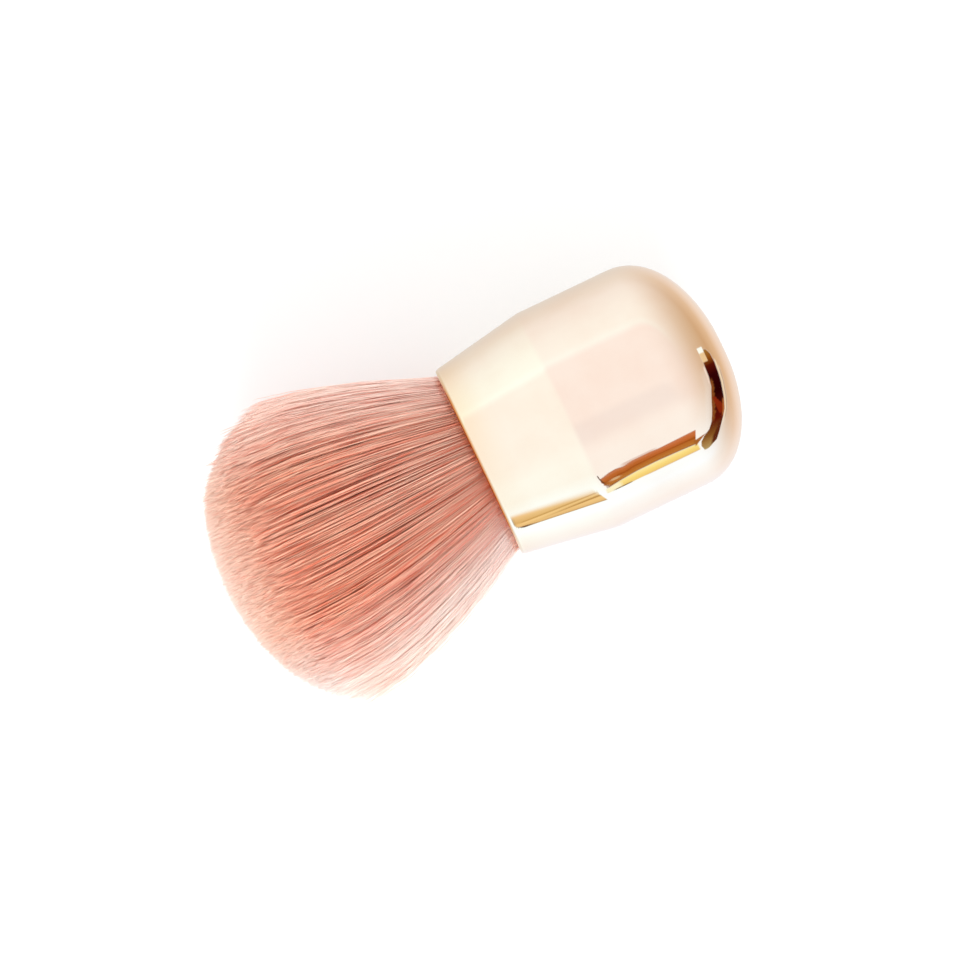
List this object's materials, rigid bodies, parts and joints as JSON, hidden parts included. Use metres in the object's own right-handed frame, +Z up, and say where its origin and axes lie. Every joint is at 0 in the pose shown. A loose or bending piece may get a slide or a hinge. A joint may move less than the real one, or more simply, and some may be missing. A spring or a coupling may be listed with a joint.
{
  "type": "nail dust brush",
  "caption": "Short domed dust brush with a soft flared tuft of bristles set in a one-piece polished metal handle with a rounded end, lying on its side.",
  "frame": {"origin": "on the surface that the brush lies on, under the middle of its bounding box", "axes": "+X along the brush's axis from the bristle tips to the domed end of the handle, +Z up from the surface that the brush lies on"},
  "size_m": [0.0748, 0.0422, 0.0371],
  "materials": {
    "handle_shell": "mirror-polished rose gold",
    "core_plug": "moulded",
    "bristle_cup": "bare drawn sheet",
    "binding_cord": "twisted cord",
    "cup_glue": "cured adhesive",
    "steel_weight": "turned",
    "crown_pad": "foam",
    "bristles": "fine soft synthetic hair, pink, paler at the tips"
  },
  "bodies": {
    "root": {"handle_shell": "handle_shell", "core_plug": "core_plug", "bristle_cup": "bristle_cup", "binding_cord": "binding_cord", "cup_glue": "cup_glue", "steel_weight": "steel_weight", "crown_pad": "crown_pad", "bristles_core": "bristles", "bristles_inner_1": "bristles", "bristles_inner_2": "bristles", "bristles_inner_3": "bristles", "bristles_inner_4": "bristles", "bristles_inner_5": "bristles", "bristles_inner_6": "bristles", "bristles_outer_1": "bristles", "bristles_outer_2": "bristles", "bristles_outer_3": "bristles", "bristles_outer_4": "bristles", "bristles_outer_5": "bristles", "bristles_outer_6": "bristles"}
  },
  "joints": []
}
